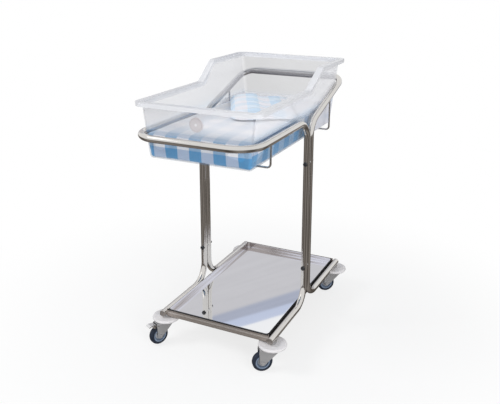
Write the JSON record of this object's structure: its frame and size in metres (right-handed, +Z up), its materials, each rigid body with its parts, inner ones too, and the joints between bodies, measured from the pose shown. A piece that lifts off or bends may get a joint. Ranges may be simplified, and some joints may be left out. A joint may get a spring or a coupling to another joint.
{
  "type": "hospital bassinet",
  "caption": "Hospital bassinet with a clear tub, checked mattress and pillow, on a bent steel tube trolley with a shallow tray and swivelling casters.",
  "frame": {"origin": "on the floor, below the middle of the bounding box", "axes": "+Z up, +Y from the low foot end to the high head end, +X to the right seen from the foot end"},
  "size_m": [0.555, 0.917, 1.045],
  "materials": {
    "polished_tube": "polished",
    "bolt_steel": "satin",
    "black_cap": "matte",
    "mirror_pan": "mirror polished",
    "black_trim": "matte",
    "brushed_bar": "brushed",
    "clear_tub": "glossy, clear",
    "port_cover": "glossy, translucent",
    "gingham_mattress": "woven gingham check",
    "gingham_pillow": "woven gingham check",
    "white_disc": "satin",
    "zinc": "zinc plated",
    "chrome_pedal": "polished",
    "dark_tyre": "matte",
    "grey_hub": "satin"
  },
  "bodies": {
    "frame": {"front_frame_tube": "polished_tube", "rear_frame_tube": "polished_tube", "head_cross_rod": "polished_tube", "front_wire_support": "polished_tube", "rear_wire_support": "polished_tube", "post_bolts": "bolt_steel", "post_spacers": "bolt_steel", "bolt_caps": "black_cap", "post_nuts": "black_cap", "tray_pan": "mirror_pan", "tray_edge_trim": "black_trim", "tray_front_bar": "brushed_bar", "tray_rear_bar": "brushed_bar", "rail_end_plugs": "bolt_steel", "caster_sockets": "bolt_steel", "caster_stems": "bolt_steel"},
    "tub": {"tub_shell": "clear_tub", "tub_port_cover": "port_cover"},
    "mattress": {"mattress": "gingham_mattress"},
    "pillow": {"pillow": "gingham_pillow"},
    "front_left_bumper": {"front_left_bumper_disc": "white_disc"},
    "front_left_swivel": {"front_left_swivel_bearing": "zinc", "front_left_fork": "zinc", "front_left_axle_bolt": "zinc", "front_left_axle_nut": "zinc", "front_left_brake_pin": "bolt_steel"},
    "front_left_wheel": {"front_left_tyre": "dark_tyre", "front_left_wheel_hub": "grey_hub"},
    "front_left_brake": {"front_left_brake_pedal": "chrome_pedal"},
    "front_right_bumper": {"front_right_bumper_disc": "white_disc"},
    "front_right_swivel": {"front_right_swivel_bearing": "zinc", "front_right_fork": "zinc", "front_right_axle_bolt": "zinc", "front_right_axle_nut": "zinc"},
    "front_right_wheel": {"front_right_tyre": "dark_tyre", "front_right_wheel_hub": "grey_hub"},
    "rear_left_bumper": {"rear_left_bumper_disc": "white_disc"},
    "rear_left_swivel": {"rear_left_swivel_bearing": "zinc", "rear_left_fork": "zinc", "rear_left_axle_bolt": "zinc", "rear_left_axle_nut": "zinc"},
    "rear_left_wheel": {"rear_left_tyre": "dark_tyre", "rear_left_wheel_hub": "grey_hub"},
    "rear_right_bumper": {"rear_right_bumper_disc": "white_disc"},
    "rear_right_swivel": {"rear_right_swivel_bearing": "zinc", "rear_right_fork": "zinc", "rear_right_axle_bolt": "zinc", "rear_right_axle_nut": "zinc", "rear_right_brake_pin": "bolt_steel"},
    "rear_right_wheel": {"rear_right_tyre": "dark_tyre", "rear_right_wheel_hub": "grey_hub"},
    "rear_right_brake": {"rear_right_brake_pedal": "chrome_pedal"}
  },
  "joints": [
    {"name": "tub_lift", "type": "slide", "parent": "frame", "child": "tub", "axis": [0, 0, 1], "range_m": [0, 0.3]},
    {"name": "mattress_lift", "type": "slide", "parent": "tub", "child": "mattress", "axis": [0, 0, 1], "range_m": [0, 0.28]},
    {"name": "pillow_lift", "type": "slide", "parent": "mattress", "child": "pillow", "axis": [0, 0, 1], "range_m": [0, 0.2]},
    {"name": "front_left_bumper_turn", "type": "hinge", "parent": "frame", "child": "front_left_bumper", "pos_m": [-0.225, -0.276, 0.101], "axis": [0, 0, 1], "continuous": true},
    {"name": "front_left_swivel_turn", "type": "hinge", "parent": "frame", "child": "front_left_swivel", "pos_m": [-0.225, -0.276, 0.092], "axis": [0, 0, 1], "continuous": true},
    {"name": "front_left_wheel_roll", "type": "hinge", "parent": "front_left_swivel", "child": "front_left_wheel", "pos_m": [-0.24106, -0.31044, 0.0375], "axis": [0.9063, -0.4226, 0], "continuous": true},
    {"name": "front_left_brake_press", "type": "hinge", "parent": "front_left_swivel", "child": "front_left_brake", "pos_m": [-0.24444, -0.31769, 0.082], "axis": [0.9063, -0.4226, 0], "range_deg": [0, 12]},
    {"name": "front_right_bumper_turn", "type": "hinge", "parent": "frame", "child": "front_right_bumper", "pos_m": [0.225, -0.276, 0.101], "axis": [0, 0, 1], "continuous": true},
    {"name": "front_right_swivel_turn", "type": "hinge", "parent": "frame", "child": "front_right_swivel", "pos_m": [0.225, -0.276, 0.092], "axis": [0, 0, 1], "continuous": true},
    {"name": "front_right_wheel_roll", "type": "hinge", "parent": "front_right_swivel", "child": "front_right_wheel", "pos_m": [0.19465, -0.29887, 0.0375], "axis": [0.6018, -0.7986, 0], "continuous": true},
    {"name": "rear_left_bumper_turn", "type": "hinge", "parent": "frame", "child": "rear_left_bumper", "pos_m": [-0.225, 0.406, 0.101], "axis": [0, 0, 1], "continuous": true},
    {"name": "rear_left_swivel_turn", "type": "hinge", "parent": "frame", "child": "rear_left_swivel", "pos_m": [-0.225, 0.406, 0.092], "axis": [0, 0, 1], "continuous": true},
    {"name": "rear_left_wheel_roll", "type": "hinge", "parent": "rear_left_swivel", "child": "rear_left_wheel", "pos_m": [-0.24106, 0.37156, 0.0375], "axis": [0.9063, -0.4226, 0], "continuous": true},
    {"name": "rear_right_bumper_turn", "type": "hinge", "parent": "frame", "child": "rear_right_bumper", "pos_m": [0.225, 0.406, 0.101], "axis": [0, 0, 1], "continuous": true},
    {"name": "rear_right_swivel_turn", "type": "hinge", "parent": "frame", "child": "rear_right_swivel", "pos_m": [0.225, 0.406, 0.092], "axis": [0, 0, 1], "continuous": true},
    {"name": "rear_right_wheel_roll", "type": "hinge", "parent": "rear_right_swivel", "child": "rear_right_wheel", "pos_m": [0.19589, 0.38157, 0.0375], "axis": [0.6428, -0.766, 0], "continuous": true},
    {"name": "rear_right_brake_press", "type": "hinge", "parent": "rear_right_swivel", "child": "rear_right_brake", "pos_m": [0.18976, 0.37643, 0.082], "axis": [0.6428, -0.766, 0], "range_deg": [0, 12]}
  ]
}
